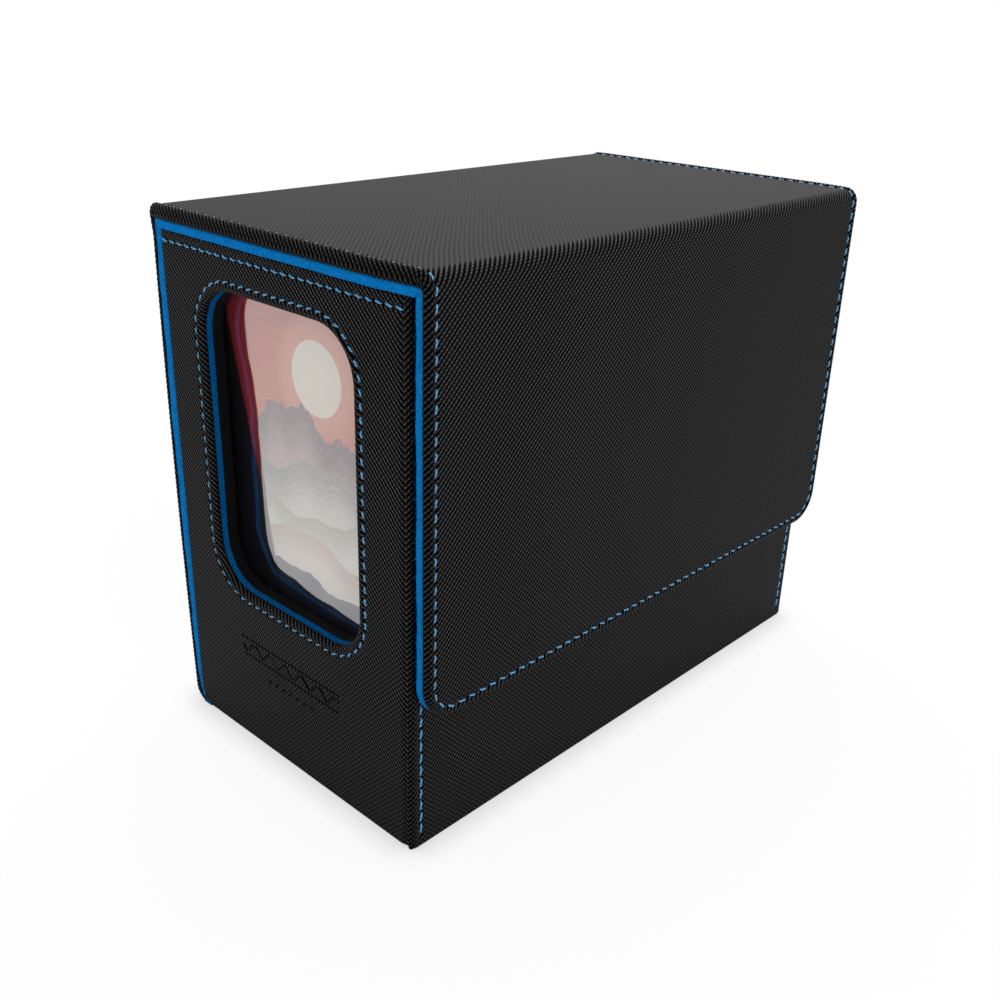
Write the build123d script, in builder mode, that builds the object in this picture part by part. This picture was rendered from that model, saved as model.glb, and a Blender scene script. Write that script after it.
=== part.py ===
"""Flip-lid card box: a soft-edged cover of back, lid and flap wraps a rigid tray with a windowed end.

X runs along the box, with the window end at -X. The flap hangs at -Y. Z is up, and the box stands
on Z = 0. The shapes show the box closed. Sizes are in millimetres.
"""
import os

from build123d import *

# What the box holds: a row of cards, and one card on show behind the window
card_width = 63.0
card_height = 88.0
card_thickness = 0.5
card_corner_radius = 3.0
row_length = 127.5
sleeve_room = 3.35
card_head_room = 2.9
card_foot_height = 22.0

# Every panel is leatherette turned round a greyboard, then a thick microfibre lining
skin_thickness = 0.8
board_thickness = 0.9
lining_thickness = 2.0
lining_edge_radius = 0.5
panel_corner_radius = 1.5

# The floor has a stiffer board and a thinner lining
base_board_thickness = 1.5
base_lining_thickness = 1.2

# Inside of the soft folds, where the cover bends without a board
fold_inner_radius = 0.8

# Fits between pieces
flap_gap = 0.9
lid_gap = 0.6
panel_seam = 0.15
end_recess = 0.5
insert_clearance = 0.1

# Flap, with its lower edge measured from the floor
flap_edge_height = 32.0
flap_corner_radius = 6.5

# Magnets in the boards of the flap and the front wall, measured up from the flap's lower edge
magnet_diameter = 10.0
magnet_spacing = 76.0
magnet_rise = 11.0
magnet_clearance = 0.1

# How much of the card on show the window covers, at its sides, foot and head
window_side_cover = 7.85
window_foot_cover = 15.7
window_head_cover = 6.5
window_corner_radius = 10.0

# Display pocket behind the window
pocket_frame_thickness = 1.2
pane_thickness = 0.5
pocket_back_thickness = 1.2
pocket_card_stands_out = 1.5
card_side_clearance = 0.6
card_face_clearance = 0.35

# Layers, and the round of an edge where the skin is turned
outer_layer = skin_thickness + board_thickness
panel_thickness = outer_layer + lining_thickness
base_board_top = skin_thickness + base_board_thickness
base_thickness = base_board_top + base_lining_thickness
fold_radius = panel_thickness + fold_inner_radius
fold_lining_radius = lining_thickness + fold_inner_radius
foot_radius = panel_thickness
turned_edge_radius = 0.85 * skin_thickness

# The inside, and from it the outside of the closed box
slot_depth = card_thickness + 2 * card_face_clearance
pocket_front_depth = pocket_frame_thickness + pane_thickness
pocket_thickness = pocket_front_depth + slot_depth + pocket_back_thickness
inner_width = card_width + 2 * sleeve_room
inner_length = row_length + pocket_thickness
card_top = card_foot_height + card_height
wall_top = card_top + card_head_room
length = inner_length + 2 * (panel_thickness + end_recess)
depth = inner_width + 3 * panel_thickness + flap_gap
height = wall_top + lid_gap + panel_thickness

# Faces and edges that several pieces share
end_x = length / 2
panel_x = end_x - end_recess
panel_pad_x = panel_x - outer_layer
pocket_x = -panel_x + panel_thickness
back_y = depth / 2
back_board_y = back_y - skin_thickness
back_pad_y = back_y - outer_layer
back_lining_y = back_y - panel_thickness
flap_y = -depth / 2
front_y = flap_y + panel_thickness + flap_gap
front_pad_y = front_y + outer_layer
front_lining_y = front_pad_y + lining_thickness
fold_z = height - fold_radius
lid_front_y = flap_y + fold_radius
lid_back_y = back_y - fold_radius

# Sizes and middles of the panels
floor_width = back_lining_y - front_pad_y
floor_middle = (back_lining_y + front_pad_y) / 2
inner_middle = (back_lining_y + front_lining_y) / 2
end_panel_width = floor_width - 2 * panel_seam
lid_width = lid_back_y - lid_front_y
magnet_height = flap_edge_height + magnet_rise

# Sizes of the window and the pocket behind it
window_width = card_width - 2 * window_side_cover
window_height = card_height - window_foot_cover - window_head_cover
window_middle_height = card_foot_height + window_foot_cover + window_height / 2
pocket_width = inner_width - 2 * insert_clearance
pocket_height = card_top - pocket_card_stands_out - base_thickness
slot_width = card_width + 2 * card_side_clearance
welt_width = (pocket_width - slot_width) / 2

# A panel is drawn on its outer face and grows inward along its plane's normal
window_end_plane = Plane((-panel_x, 0, 0), x_dir=(0, 1, 0), z_dir=(1, 0, 0))
plain_end_plane = Plane((panel_x, 0, 0), x_dir=(0, -1, 0), z_dir=(-1, 0, 0))
front_plane = Plane((0, front_y, 0), x_dir=(-1, 0, 0), z_dir=(0, 1, 0))
flap_plane = Plane((0, flap_y, 0), x_dir=(-1, 0, 0), z_dir=(0, 1, 0))
back_plane = Plane((0, back_y, 0), x_dir=(1, 0, 0), z_dir=(0, -1, 0))
lid_plane = Plane((0, 0, height), x_dir=(1, 0, 0), z_dir=(0, 0, -1))
pocket_plane = Plane((pocket_x, 0, 0), x_dir=(0, 1, 0), z_dir=(1, 0, 0))
slot_plane = pocket_plane.offset(pocket_front_depth)
section_plane = Plane.YZ.offset(-end_x)

standing = (Align.CENTER, Align.MIN)


def floor_outline():
    """The floor between the outer layers of the four walls."""
    with Locations((0, floor_middle)):
        Rectangle(2 * panel_pad_x, floor_width)


def wall_outline(width, middle=0.0, inset=0.0):
    """A wall that stands on the table, inset on all four sides."""
    with Locations((middle, wall_top / 2)):
        RectangleRounded(width - 2 * inset, wall_top - 2 * inset, panel_corner_radius - inset)


def lining_outline(width, middle=0.0):
    """A wall's lining, which stands on the floor's lining."""
    with Locations((middle, base_thickness)):
        Rectangle(width, wall_top - base_thickness, align=standing)


def window_cut(outset=0.0):
    """The window, grown by the outset. It is centred on the inside of the box."""
    with Locations((inner_middle, window_middle_height)):
        RectangleRounded(
            window_width + 2 * outset,
            window_height + 2 * outset,
            window_corner_radius + outset,
            mode=Mode.SUBTRACT,
        )


def flap_outline(inset=0.0):
    """The flap from its rounded lower corners to the fold, inset on its three free sides."""
    low = flap_edge_height + inset
    with Locations((0, low)):
        panel = Rectangle(length - 2 * inset, fold_z - low, align=standing)
    fillet(panel.vertices().group_by(Axis.Y)[0], flap_corner_radius - inset)


def lid_outline(inset=0.0):
    """The lid between its two folds, inset on its two free sides."""
    with Locations((0, -(lid_front_y + lid_back_y) / 2)):
        Rectangle(length - 2 * inset, lid_width)


def magnet_outline(clearance=0.0, mode=Mode.ADD):
    """The two magnets, or with a clearance the holes that hold them."""
    with Locations((0, magnet_height)):
        with GridLocations(magnet_spacing, 0, 2, 1):
            Circle(magnet_diameter / 2 + clearance, mode=mode)


def fold_outline(middle_y, outer_radius, inner_radius, quarter):
    """A quarter ring about a fold's middle, seen from the end of the box."""
    with Locations((middle_y, fold_z)):
        Circle(outer_radius)
        Circle(inner_radius, mode=Mode.SUBTRACT)
        Rectangle(outer_radius, outer_radius, align=quarter, mode=Mode.INTERSECT)


def pocket_outline():
    """The display pocket, which stands on the floor's lining."""
    with Locations((inner_middle, base_thickness)):
        Rectangle(pocket_width, pocket_height, align=standing)


# Floor
with BuildPart() as base_skin:
    with BuildSketch(Plane.XY):
        floor_outline()
    extrude(amount=skin_thickness)

with BuildPart() as base_board:
    with BuildSketch(Plane.XY.offset(skin_thickness)):
        floor_outline()
    extrude(amount=base_board_thickness)

with BuildPart() as base_lining:
    with BuildSketch(Plane.XY.offset(base_board_top)):
        floor_outline()
    extrude(amount=base_lining_thickness)

# Front wall, with a pair of magnets behind its skin
with BuildPart() as front_skin:
    with BuildSketch(front_plane):
        wall_outline(length)
    extrude(amount=outer_layer)
    fillet(front_skin.faces().sort_by(Axis.Y)[0].edges(), turned_edge_radius)
    with BuildSketch(front_plane.offset(skin_thickness)):
        wall_outline(length, inset=skin_thickness)
    extrude(amount=board_thickness, mode=Mode.SUBTRACT)

with BuildPart() as front_board:
    with BuildSketch(front_plane.offset(skin_thickness)):
        wall_outline(length, inset=skin_thickness)
        magnet_outline(magnet_clearance, Mode.SUBTRACT)
    extrude(amount=board_thickness)

with BuildPart() as front_magnets:
    with BuildSketch(front_plane.offset(skin_thickness)):
        magnet_outline()
    extrude(amount=board_thickness)

with BuildPart() as front_lining:
    with BuildSketch(front_plane.offset(outer_layer)):
        lining_outline(2 * panel_pad_x)
    extrude(amount=lining_thickness)

# Window end: the skin is turned in round the window too
with BuildPart() as window_end_skin:
    with BuildSketch(window_end_plane):
        wall_outline(end_panel_width, floor_middle)
        window_cut()
    extrude(amount=outer_layer)
    fillet(window_end_skin.faces().sort_by(Axis.X)[0].edges(), turned_edge_radius)
    with BuildSketch(window_end_plane.offset(skin_thickness)):
        wall_outline(end_panel_width, floor_middle, skin_thickness)
        window_cut(skin_thickness)
    extrude(amount=board_thickness, mode=Mode.SUBTRACT)

with BuildPart() as window_end_board:
    with BuildSketch(window_end_plane.offset(skin_thickness)):
        wall_outline(end_panel_width, floor_middle, skin_thickness)
        window_cut(skin_thickness)
    extrude(amount=board_thickness)

with BuildPart() as window_end_lining:
    with BuildSketch(window_end_plane.offset(outer_layer)):
        lining_outline(inner_width, inner_middle)
        window_cut()
    extrude(amount=lining_thickness)

# Display pocket: a dark frame, a clear pane, two side welts and a foot that hold the card, and a back
with BuildPart() as pocket_frame:
    with BuildSketch(pocket_plane):
        pocket_outline()
        window_cut()
    extrude(amount=pocket_frame_thickness)

with BuildPart() as window_pane:
    with BuildSketch(pocket_plane.offset(pocket_frame_thickness)):
        pocket_outline()
    extrude(amount=pane_thickness)

with BuildPart() as pocket_welts:
    with BuildSketch(slot_plane):
        with Locations((inner_middle, base_thickness + pocket_height / 2)):
            with GridLocations(slot_width + welt_width, 0, 2, 1):
                Rectangle(welt_width, pocket_height)
    extrude(amount=slot_depth)

with BuildPart() as pocket_foot:
    with BuildSketch(slot_plane):
        with Locations((inner_middle, base_thickness)):
            Rectangle(slot_width, card_foot_height - base_thickness, align=standing)
    extrude(amount=slot_depth)

with BuildPart() as display_card:
    with BuildSketch(slot_plane.offset(card_face_clearance)):
        with Locations((inner_middle, card_foot_height + card_height / 2)):
            RectangleRounded(card_width, card_height, card_corner_radius)
    extrude(amount=card_thickness)

with BuildPart() as pocket_back:
    with BuildSketch(slot_plane.offset(slot_depth)):
        pocket_outline()
    extrude(amount=pocket_back_thickness)

# Plain end
with BuildPart() as plain_end_skin:
    with BuildSketch(plain_end_plane):
        wall_outline(end_panel_width, -floor_middle)
    extrude(amount=outer_layer)
    fillet(plain_end_skin.faces().sort_by(Axis.X)[-1].edges(), turned_edge_radius)
    with BuildSketch(plain_end_plane.offset(skin_thickness)):
        wall_outline(end_panel_width, -floor_middle, skin_thickness)
    extrude(amount=board_thickness, mode=Mode.SUBTRACT)

with BuildPart() as plain_end_board:
    with BuildSketch(plain_end_plane.offset(skin_thickness)):
        wall_outline(end_panel_width, -floor_middle, skin_thickness)
    extrude(amount=board_thickness)

with BuildPart() as plain_end_lining:
    with BuildSketch(plain_end_plane.offset(outer_layer)):
        lining_outline(inner_width, -inner_middle)
    extrude(amount=lining_thickness)

# Back of the cover: its skin turns under at the foot, where the lining fills the curve
with BuildPart() as back_skin:
    with BuildSketch(section_plane):
        with BuildLine():
            CenterArc((back_lining_y, foot_radius), foot_radius, 0, -90)
            Line((back_lining_y, 0), (back_lining_y, skin_thickness))
            CenterArc((back_lining_y, foot_radius), foot_radius - skin_thickness, -90, 90)
            Polyline(
                (back_board_y, foot_radius),
                (back_pad_y, foot_radius),
                (back_pad_y, fold_z),
                (back_y, fold_z),
                (back_y, foot_radius),
            )
        make_face()
    extrude(amount=length)
    fillet(back_skin.faces().sort_by(Axis.Y)[-1].edges().filter_by(Axis.Z), turned_edge_radius)
    with BuildSketch(back_plane.offset(skin_thickness)):
        with Locations((0, foot_radius)):
            Rectangle(length - 2 * skin_thickness, fold_z - foot_radius, align=standing)
    extrude(amount=board_thickness, mode=Mode.SUBTRACT)

with BuildPart() as back_board:
    with BuildSketch(back_plane.offset(skin_thickness)):
        with Locations((0, foot_radius)):
            Rectangle(length - 2 * skin_thickness, fold_z - foot_radius, align=standing)
    extrude(amount=board_thickness)

with BuildPart() as back_lining:
    with BuildSketch(section_plane):
        with BuildLine():
            CenterArc((back_lining_y, foot_radius), foot_radius - skin_thickness, 0, -90)
            Polyline(
                (back_lining_y, skin_thickness),
                (back_lining_y, fold_z),
                (back_pad_y, fold_z),
                (back_pad_y, foot_radius),
                (back_board_y, foot_radius),
            )
        make_face()
    extrude(amount=length)

# Rear fold, on which the lid turns
rear_quarter = (Align.MIN, Align.MIN)
with BuildPart() as rear_fold_skin:
    with BuildSketch(section_plane):
        fold_outline(lid_back_y, fold_radius, fold_lining_radius, rear_quarter)
    extrude(amount=length)
    outer_arcs = rear_fold_skin.edges().filter_by(GeomType.CIRCLE).group_by(SortBy.RADIUS)[-1]
    fillet(outer_arcs, turned_edge_radius)

with BuildPart() as rear_fold_lining:
    with BuildSketch(section_plane):
        fold_outline(lid_back_y, fold_lining_radius, fold_inner_radius, rear_quarter)
    extrude(amount=length)

# Lid of the cover
with BuildPart() as lid_skin:
    with BuildSketch(lid_plane):
        lid_outline()
    extrude(amount=outer_layer)
    fillet(lid_skin.faces().sort_by(Axis.Z)[-1].edges().filter_by(Axis.Y), turned_edge_radius)
    with BuildSketch(lid_plane.offset(skin_thickness)):
        lid_outline(skin_thickness)
    extrude(amount=board_thickness, mode=Mode.SUBTRACT)

with BuildPart() as lid_board:
    with BuildSketch(lid_plane.offset(skin_thickness)):
        lid_outline(skin_thickness)
    extrude(amount=board_thickness)

with BuildPart() as lid_lining:
    with BuildSketch(lid_plane.offset(outer_layer)):
        lid_outline()
    extrude(amount=lining_thickness)
    fillet(lid_lining.faces().sort_by(Axis.Z)[0].edges().filter_by(Axis.Y), lining_edge_radius)

# Front fold, on which the flap turns
front_quarter = (Align.MAX, Align.MIN)
with BuildPart() as front_fold_skin:
    with BuildSketch(section_plane):
        fold_outline(lid_front_y, fold_radius, fold_lining_radius, front_quarter)
    extrude(amount=length)
    outer_arcs = front_fold_skin.edges().filter_by(GeomType.CIRCLE).group_by(SortBy.RADIUS)[-1]
    fillet(outer_arcs, turned_edge_radius)

with BuildPart() as front_fold_lining:
    with BuildSketch(section_plane):
        fold_outline(lid_front_y, fold_lining_radius, fold_inner_radius, front_quarter)
    extrude(amount=length)

# Flap of the cover: every free edge is turned, and only the edge at the fold stays open
with BuildPart() as flap_skin:
    with BuildSketch(flap_plane):
        flap_outline()
    extrude(amount=outer_layer)
    fillet(flap_skin.faces().sort_by(Axis.Y)[0].edges().sort_by(Axis.Z)[:-1], turned_edge_radius)
    with BuildSketch(flap_plane.offset(skin_thickness)):
        flap_outline(skin_thickness)
    extrude(amount=board_thickness, mode=Mode.SUBTRACT)

with BuildPart() as flap_board:
    with BuildSketch(flap_plane.offset(skin_thickness)):
        flap_outline(skin_thickness)
        magnet_outline(magnet_clearance, Mode.SUBTRACT)
    extrude(amount=board_thickness)

with BuildPart() as flap_magnets:
    with BuildSketch(flap_plane.offset(skin_thickness)):
        magnet_outline()
    extrude(amount=board_thickness)

with BuildPart() as flap_lining:
    with BuildSketch(flap_plane.offset(outer_layer)):
        flap_outline()
    extrude(amount=lining_thickness)
    fillet(flap_lining.faces().sort_by(Axis.Y)[-1].edges().sort_by(Axis.Z)[:-1], lining_edge_radius)

pieces = {
    "base_skin": base_skin,
    "base_board": base_board,
    "base_lining": base_lining,
    "front_skin": front_skin,
    "front_board": front_board,
    "front_magnets": front_magnets,
    "front_lining": front_lining,
    "window_end_skin": window_end_skin,
    "window_end_board": window_end_board,
    "window_end_lining": window_end_lining,
    "pocket_frame": pocket_frame,
    "window_pane": window_pane,
    "pocket_welts": pocket_welts,
    "pocket_foot": pocket_foot,
    "display_card": display_card,
    "pocket_back": pocket_back,
    "plain_end_skin": plain_end_skin,
    "plain_end_board": plain_end_board,
    "plain_end_lining": plain_end_lining,
    "back_skin": back_skin,
    "back_board": back_board,
    "back_lining": back_lining,
    "rear_fold_skin": rear_fold_skin,
    "rear_fold_lining": rear_fold_lining,
    "lid_skin": lid_skin,
    "lid_board": lid_board,
    "lid_lining": lid_lining,
    "front_fold_skin": front_fold_skin,
    "front_fold_lining": front_fold_lining,
    "flap_skin": flap_skin,
    "flap_board": flap_board,
    "flap_magnets": flap_magnets,
    "flap_lining": flap_lining,
}
os.makedirs("parts", exist_ok=True)
for name, piece in pieces.items():
    piece.part.label = name
    export_step(piece.part, f"parts/{name}.step")
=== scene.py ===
"""Looks of the flip-lid card box: woven black leatherette over blue microfibre, sewn with blue thread.

The outside of every panel is a surface of its own: its edges are turned, its seams sink under their
stitches, and a texture place in millimetres carries the weave round each edge. Lengths are in
millimetres until a mesh is made.
"""

import math
import random

import bmesh
import bpy
import numpy as np
from mathutils import Matrix, Vector
from mathutils.geometry import delaunay_2d_cdt


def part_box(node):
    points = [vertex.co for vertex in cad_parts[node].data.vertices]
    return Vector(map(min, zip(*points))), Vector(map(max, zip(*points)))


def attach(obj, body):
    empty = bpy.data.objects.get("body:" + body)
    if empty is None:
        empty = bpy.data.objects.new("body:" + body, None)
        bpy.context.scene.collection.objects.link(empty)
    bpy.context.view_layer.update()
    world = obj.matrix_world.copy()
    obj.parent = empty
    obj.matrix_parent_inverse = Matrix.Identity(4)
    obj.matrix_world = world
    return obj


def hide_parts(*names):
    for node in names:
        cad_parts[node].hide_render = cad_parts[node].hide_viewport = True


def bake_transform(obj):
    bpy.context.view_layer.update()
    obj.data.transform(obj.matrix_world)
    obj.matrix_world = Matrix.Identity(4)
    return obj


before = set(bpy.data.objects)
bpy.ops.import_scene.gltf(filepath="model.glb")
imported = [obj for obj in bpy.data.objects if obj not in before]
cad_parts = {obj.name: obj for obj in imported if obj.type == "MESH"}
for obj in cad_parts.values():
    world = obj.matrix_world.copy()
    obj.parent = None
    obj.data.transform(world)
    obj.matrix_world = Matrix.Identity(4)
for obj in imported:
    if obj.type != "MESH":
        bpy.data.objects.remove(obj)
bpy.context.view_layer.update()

MM = 0.001


def corners(node):
    """Lowest and highest corner of a CAD piece, in millimetres."""
    low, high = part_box(node)
    return Vector(low) / MM, Vector(high) / MM


# Sizes taken from the CAD pieces
LID_LOW, LID_HIGH = corners("lid_skin")
FLAP_LOW, _ = corners("flap_skin")
_, BACK_HIGH = corners("back_skin")
FRONT_LOW, FRONT_HIGH = corners("front_skin")
END_LOW, END_HIGH = corners("window_end_skin")
_, FAR_HIGH = corners("plain_end_skin")
LID_LINING_LOW, _ = corners("lid_lining")
PANE_LOW, PANE_HIGH = corners("window_pane")
CARD_LOW, CARD_HIGH = corners("display_card")
WELT_LOW, WELT_HIGH = corners("pocket_welts")

EDGE_X = LID_HIGH.x
TOP = LID_HIGH.z
SKIN = LID_HIGH.z - LID_LOW.z
PANEL = LID_HIGH.z - LID_LINING_LOW.z
FLAP_CORNER = 7.6

# How the sewn cover sits: tight folds, a lid that stands out over the ends, a back that bows a little
FRONT_ROUND = 3.0
REAR_ROUND = 2.4
FOOT_ROUND = 3.7
LID_LIP = 1.0
BACK_BOW = 1.1
EDGE_LINING = 2.0
CREASE_DEPTH = 4.0
CREASE_HALF = 0.9
BEND_STEP = 0.15

# The ends reach over the edges of the front wall and the back
END_FRONT_Y = FRONT_LOW.y + 1.2
END_BACK_Y = BACK_HIGH.y - 2.5
END_OUT = 0.35

# The window, centred on the inside of the box
WINDOW_WIDTH = 47.3
WINDOW_HEIGHT = 65.8
WINDOW_RADIUS = 10.0
WINDOW_Y = (CARD_LOW.y + CARD_HIGH.y) / 2
WINDOW_Z = 70.6
HEM_DEPTH = 1.4
HEM_DOWN = 1.0

# Stitches, and how far each row stands in from its edge
COVER_STITCH = 2.83
END_STITCH = 2.6
COVER_SHARE = 0.64
END_SHARE = 0.6
FRONT_SHARE = 0.76
THREAD = 0.235
COVER_ROW = 1.95
FRONT_ROW = 2.7
TOP_ROW = 2.5
WINDOW_ROW = 2.0
GROOVE_HALF = 0.8
GROOVE_DEPTH = 0.34
GROOVE_DIP = 0.16
ROLL = 0.28
LID_ROLL = 0.36
COVER_DOWN = 1.05

# The pressed weave runs on both diagonals, with this much from pillow to pillow
WEAVE = 0.83
WEAVE_TURN = math.pi / (WEAVE * math.sqrt(2))
WEAVE_RELIEF = 0.13
RELIEF_STEP = 0.16


def pillow(u, v):
    """Height of the weave at a texture place, from 0 in its furrows to 1 on its crowns."""
    across = abs(math.sin((u + v) * WEAVE_TURN))
    along = abs(math.sin((u - v) * WEAVE_TURN))
    return (0.5 + 0.5 * across) * along ** 1.4


# Collecting a surface

class Sheet:
    """Points, texture places and faces of one surface."""

    def __init__(self):
        self.points = []
        self.places = []
        self.faces = []
        self.pressed = {}

    def add(self, point, place):
        self.points.append(point)
        self.places.append(place)
        return len(self.points) - 1

    def join(self, rows, closed=False):
        """Quads between rows of points that lie side by side."""
        for near, far in zip(rows, rows[1:]):
            count = len(near)
            last = count if closed else count - 1
            for i in range(last):
                k = (i + 1) % count
                self.faces.append((near[i], near[k], far[k], far[i]))

    def grid(self, lines, spots, at, closed=False):
        """Rows of joined points: at gives the point and the texture place of a spot on a line."""
        rows = [[self.add(*at(line, spot)) for spot in spots] for line in lines]
        self.join(rows, closed)
        return rows

    def build(self, name, material, outward=True):
        """Makes the object, its faces turned away from the middle of the box or towards it."""
        mesh = bpy.data.meshes.new(name)
        mesh.from_pydata([[c * MM for c in p] for p in self.points], [], self.faces)
        layer = mesh.uv_layers.new(name="weave")
        used = np.empty(len(mesh.loops), dtype=np.int32)
        mesh.loops.foreach_get("vertex_index", used)
        layer.data.foreach_set("uv", np.array(self.places, dtype=np.float32)[used].ravel())
        if self.pressed:
            press = mesh.attributes.new("press", "FLOAT", "POINT")
            for i, share in self.pressed.items():
                press.data[i].value = share
        mesh.materials.append(material)
        mesh.update()
        middle = Vector((0, 0, TOP / 2 * MM))
        facing = sum((f.center - middle).dot(f.normal) * f.area for f in mesh.polygons)
        if (facing > 0) != outward:
            mesh.flip_normals()
        mesh.polygons.foreach_set("use_smooth", [True] * len(mesh.polygons))
        made = bpy.data.objects.new(name, mesh)
        bpy.context.collection.objects.link(made)
        return made


class Rail:
    """A rounded outline in the plane of a panel, anticlockwise, open or closed."""

    def __init__(self, points, radius, closed=True):
        self.closed = closed
        path = []
        count = len(points)
        for i, corner in enumerate(points):
            here = Vector(corner)
            if not closed and i in (0, count - 1):
                other = Vector(points[1 if i == 0 else count - 2])
                run = (other - here if i == 0 else here - other).normalized()
                path.append((here, Vector((run.y, -run.x))))
                continue
            came = (here - Vector(points[i - 1])).normalized()
            left = Vector((-came.y, came.x))
            centre = here - came * radius + left * radius
            for k in range(31):
                turn = math.pi / 2 * k / 30
                side = -left * math.cos(turn) + came * math.sin(turn)
                path.append((centre + side * radius, side))
        if closed:
            path.append(path[0])
        self.path = np.array([(*spot, *side) for spot, side in path]).T
        steps = np.hypot(np.diff(self.path[0]), np.diff(self.path[1]))
        self.t = np.concatenate([[0], np.cumsum(steps)])
        self.length = float(self.t[-1])

    def at(self, t):
        """Place and outward direction at a length along the outline."""
        t = t % self.length if self.closed else t
        p, q, out_p, out_q = [np.interp(t, self.t, values) for values in self.path]
        return Vector((p, q)), Vector((out_p, out_q)).normalized()


def whole_pitch(length, pitch):
    """The pitch nearest to the one wanted that divides a row into whole stitches."""
    return length / round(length / pitch)


def groove(off, along, pitch):
    """Depth of the seam under a row of stitches, deepest where the needle went through."""
    if abs(off) >= GROOVE_HALF:
        return 0.0
    bell = math.cos(math.pi / 2 * off / GROOVE_HALF) ** 2
    return bell * (GROOVE_DEPTH + GROOVE_DIP * math.cos(2 * math.pi * along / pitch))


def row_seam(pitch):
    """The seam under a row of stitches along a rail."""
    return lambda _, t, off: groove(off, t, pitch)


def roll_share(off):
    """Share of the roll that the skin has left, from all of it at the edge to none inside the stitches."""
    share = min(max(off / GROOVE_HALF, -1.0), 1.0)
    return 0.5 - 0.5 * math.sin(math.pi / 2 * share)


GROOVE_STEPS = [GROOVE_HALF * k / 4 for k in range(-4, 5)]
SEAM_EDGE = 1.4
SEAM_OUT = GROOVE_STEPS + [SEAM_EDGE]
SEAM_STEPS = [-SEAM_EDGE] + SEAM_OUT


def with_reach(section, thick=1.0):
    """Adds to each point of an edge's section how far it reaches past the edge, measured along the skin."""
    reach = -section[-1][0]
    listed = [(*section[-1], reach)]
    for (a, b), (c, d) in zip(section[-2::-1], section[:0:-1]):
        reach += math.hypot(a - c, thick * (b - d))
        listed.append((a, b, reach))
    return listed[::-1]


def turned_edge(inward, down, depth=SKIN, roll=0.0):
    """Section of a turned edge, from its tucked end to the flat: (inset, height, reach past the edge)."""
    section = [(1.1, -depth), (0.4, -depth), (0.12, -depth + 0.1), (0.02, -depth + 0.3)]
    side = max(depth - 0.3 - down, 0.04)
    section += [(0.0, -down - side * share) for share in (0.75, 0.5, 0.25)]
    for k in range(9):
        turn = math.pi / 2 * k / 8
        section.append((inward * (1 - math.cos(turn)), (down + roll) * math.sin(turn) - down))
    return with_reach(section)


def strips(sheet, rail, steps, section, inset, relief, square=0.0):
    """Rows of points at each step of a section along a rail that lies the inset in from the edge.

    The section is a function of the outward direction, so that one side can be rounder than another.
    Square is 0 for corners round the rail and near 1 for corners that stay sharp.
    """

    def at(k, t):
        middle, out = rail.at(t)
        edge, height, reach = section(out)[k]
        far = out / max(abs(out.x), abs(out.y)) ** square
        spot = middle + far * (inset - edge)
        lift = height - relief(spot, t, edge - inset)
        return sheet.place(spot.x, spot.y, lift), middle + far * (inset + reach)

    return sheet.grid(range(len(section(Vector((1, 0))))), steps, at, rail.closed)


def inside(spots, rims):
    """Which spots lie inside the first of some rims and outside the others, its holes."""
    x, y = spots[:, 0], spots[:, 1]
    found = np.zeros(len(spots), dtype=bool)
    for rim in rims:
        for (ax, ay), (bx, by) in zip(rim, np.roll(rim, -1, axis=0)):
            if ay == by:
                continue
            crosses = (ay > y) != (by > y)
            found ^= crosses & (x < (bx - ax) * (y - ay) / (by - ay) + ax)
    return found


FILL_STEP = 4.0
FILL_CLEAR = 1.2


def fill(sheet, loops, place, relief=None, rows=(), spacing=FILL_STEP):
    """Covers the flat of a panel between the outer loop and the holes, with extra points along its rows."""
    rims = [np.array([sheet.flat[i] for i in loop]) for loop in loops]
    known = [i for loop in loops for i in loop]
    spots = np.concatenate(rims)
    edges = []
    first = 0
    for rim in rims:
        count = len(rim)
        edges += [(first + i, first + (i + 1) % count) for i in range(count)]
        first += count
    extra = np.array(rows).reshape(-1, 2)
    low, high = rims[0].min(axis=0), rims[0].max(axis=0)
    across = np.arange(low[0] + spacing / 2, high[0], spacing)
    along = np.arange(low[1] + spacing / 2, high[1], spacing)
    grid = np.array([(a, b) for a in across for b in along])
    near = np.concatenate([spots, extra]) if len(extra) else spots
    clear = np.array([np.min(np.hypot(*(near - g).T)) > FILL_CLEAR for g in grid])
    extra = np.concatenate([extra, grid[clear]]) if len(extra) else grid[clear]
    extra = extra[inside(extra, rims)]
    everything = [Vector(p) for p in np.concatenate([spots, extra])]
    found = delaunay_2d_cdt(everything, edges, [], 0, 1e-4)
    index = []
    for at, source in zip(found[0], found[3]):
        held = [s for s in source if s < len(known)]
        if held:
            index.append(known[held[0]])
            continue
        lift = -relief(at) if relief else 0.0
        index.append(sheet.add(place(at.x, at.y, lift), at.copy()))
    flat = np.array([(v.x, v.y) for v in found[0]])
    middles = np.array([flat[list(face)].mean(axis=0) for face in found[2]])
    for face, kept in zip(found[2], inside(middles, rims)):
        if kept:
            sheet.faces.append(tuple(index[i] for i in face))


class Panel(Sheet):
    """A sheet drawn in the plane of a panel, which remembers where each point lies in that plane."""

    def __init__(self, place):
        super().__init__()
        self.flat = {}
        self.set = place

    def place(self, p, q, lift):
        self.flat[len(self.points)] = (p, q)
        return self.set(p, q, lift)


def rectangle(low_p, low_q, high_p, high_q, inset=0.0):
    """Corners of a rectangle, anticlockwise."""
    a, b, c, d = low_p + inset, low_q + inset, high_p - inset, high_q - inset
    return [(a, b), (c, b), (c, d), (a, d)]


def evenly(start, stop, step):
    """Lengths from start to stop, near the step apart."""
    return np.linspace(start, stop, max(2, round((stop - start) / step) + 1))


# The cover: one path from the flap's lower edge over the lid and down to the foot

BOW_MIDDLE = 65


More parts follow.
